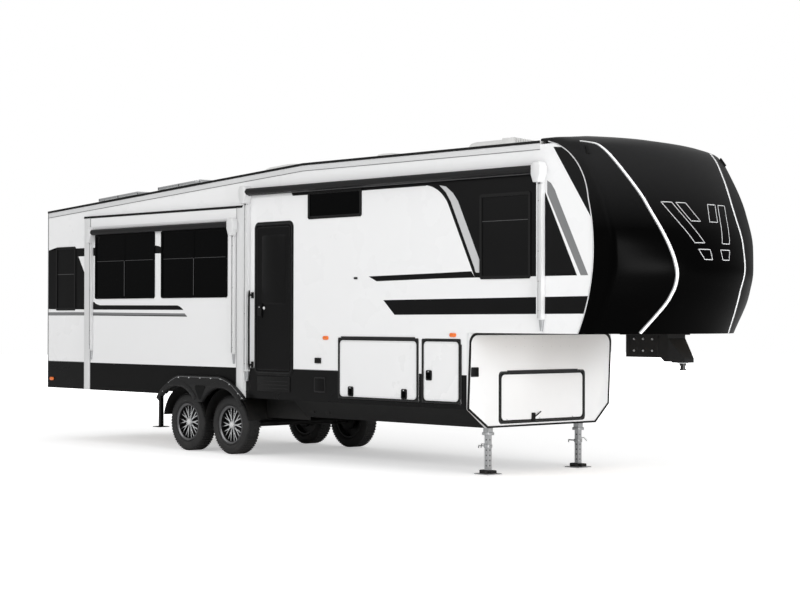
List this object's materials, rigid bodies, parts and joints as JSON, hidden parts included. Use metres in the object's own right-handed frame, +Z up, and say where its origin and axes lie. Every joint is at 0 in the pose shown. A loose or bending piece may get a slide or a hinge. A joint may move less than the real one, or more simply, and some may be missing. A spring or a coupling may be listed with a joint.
{
  "type": "fifth wheel travel trailer",
  "caption": "Long two-axle fifth wheel travel trailer with a raised black front cap, slide-out rooms, awnings, storage doors, pin box and landing legs.",
  "frame": {"origin": "on the ground, under the middle of the trailer's length and width", "axes": "+X towards the towing end, +Y to the side without the entry door, +Z up"},
  "size_m": [11.72, 2.7146, 3.9403],
  "materials": {
    "tyre": "matte rubber",
    "alloy": "machined alloy",
    "glass": "dark tinted",
    "window": "dark tinted glass in black frames",
    "cap": "gloss black moulding",
    "skirt": "satin black",
    "frame": "black paint",
    "steel": "machined",
    "leg_metal": "zinc plated",
    "door": "black",
    "roof": "membrane",
    "roof_plastic": "moulded",
    "panel": "thin panels",
    "lamp": "red lens",
    "deck": "plywood",
    "canopy": "rolled vinyl",
    "arm": "white enamel",
    "leaf": "white with black rim",
    "wall": "smooth laminated fibreglass, white over black"
  },
  "bodies": {
    "body": {"air_conditioners": "roof_plastic", "awning_arms": "arm", "awning_roller": "canopy", "axle_front": "frame", "axle_rear": "frame", "belly_beams": "frame", "belly_pan": "skirt", "bumper": "frame", "chassis_rails": "frame", "cross_members": "frame", "deck_upper": "deck", "door_frame": "door", "floor_main": "deck", "floor_outriggers": "frame", "front_cap": "cap", "front_uprights": "frame", "grab_handle": "door", "kingpin": "steel", "ladder_rails": "leg_metal", "ladder_treads": "leg_metal", "landing_legs": "leg_metal", "lower_front": "wall", "pin_box": "frame", "rear_jacks": "frame", "rear_lamps": "lamp", "roof": "roof", "roof_vents": "roof_plastic", "solar_panels": "panel", "suspension": "frame", "wall_left": "wall", "wall_rear": "wall", "wall_right": "wall", "window_frames": "window", "window_glass": "glass"},
    "entry_door": {"entry_door": "door"},
    "front_hatch": {"front_hatch": "leaf"},
    "wheel_front_left": {"rim_front_left": "alloy", "tyre_front_left": "tyre"},
    "wheel_front_right": {"rim_front_right": "alloy", "tyre_front_right": "tyre"},
    "wheel_rear_left": {"rim_rear_left": "alloy", "tyre_rear_left": "tyre"},
    "wheel_rear_right": {"rim_rear_right": "alloy", "tyre_rear_right": "tyre"},
    "slide_left": {"slide_left_awning": "arm", "slide_left_room": "wall", "slide_left_skirt": "skirt", "slide_left_windows": "window"},
    "slide_right": {"slide_right_awning": "arm", "slide_right_room": "wall", "slide_right_skirt": "skirt", "slide_right_windows": "window"},
    "storage_door_left_front": {"storage_door_left_front": "leaf"},
    "storage_door_left_rear": {"storage_door_left_rear": "leaf"},
    "storage_door_right_front": {"storage_door_right_front": "leaf"},
    "storage_door_right_rear": {"storage_door_right_rear": "leaf"}
  },
  "joints": [
    {"name": "wheel_front_right_spin", "type": "hinge", "parent": "body", "child": "wheel_front_right", "pos_m": [-1.322, -1.0295, 0.389], "axis": [0, 1, 0], "continuous": true},
    {"name": "wheel_front_left_spin", "type": "hinge", "parent": "body", "child": "wheel_front_left", "pos_m": [-1.322, 1.0295, 0.389], "axis": [0, 1, 0], "continuous": true},
    {"name": "wheel_rear_right_spin", "type": "hinge", "parent": "body", "child": "wheel_rear_right", "pos_m": [-2.282, -1.0295, 0.389], "axis": [0, 1, 0], "continuous": true},
    {"name": "wheel_rear_left_spin", "type": "hinge", "parent": "body", "child": "wheel_rear_left", "pos_m": [-2.282, 1.0295, 0.389], "axis": [0, 1, 0], "continuous": true},
    {"name": "slide_right_out", "type": "slide", "parent": "body", "child": "slide_right", "axis": [0, -1, 0], "range_m": [0, 0.85]},
    {"name": "slide_left_out", "type": "slide", "parent": "body", "child": "slide_left", "axis": [0, 1, 0], "range_m": [0, 0.85]},
    {"name": "entry_door_hinge", "type": "hinge", "parent": "body", "child": "entry_door", "pos_m": [0.064, -1.2323, 2.0565], "axis": [0, 0, 1], "range_deg": [0, 165]},
    {"name": "storage_door_right_rear_hinge", "type": "hinge", "parent": "body", "child": "storage_door_right_rear", "pos_m": [1.7, -1.2243, 1.578], "axis": [-1, 0, 0], "range_deg": [0, 100]},
    {"name": "storage_door_right_front_hinge", "type": "hinge", "parent": "body", "child": "storage_door_right_front", "pos_m": [3.144, -1.2243, 1.1915], "axis": [0, 0, 1], "range_deg": [0, 120]},
    {"name": "storage_door_left_rear_hinge", "type": "hinge", "parent": "body", "child": "storage_door_left_rear", "pos_m": [1.7, 1.2243, 1.578], "axis": [1, 0, 0], "range_deg": [0, 100]},
    {"name": "storage_door_left_front_hinge", "type": "hinge", "parent": "body", "child": "storage_door_left_front", "pos_m": [3.144, 1.2243, 1.1915], "axis": [0, 0, -1], "range_deg": [0, 120]},
    {"name": "front_hatch_hinge", "type": "hinge", "parent": "body", "child": "front_hatch", "pos_m": [3.2723, 0, 1.197], "axis": [0, -1, 0], "range_deg": [0, 95]}
  ]
}
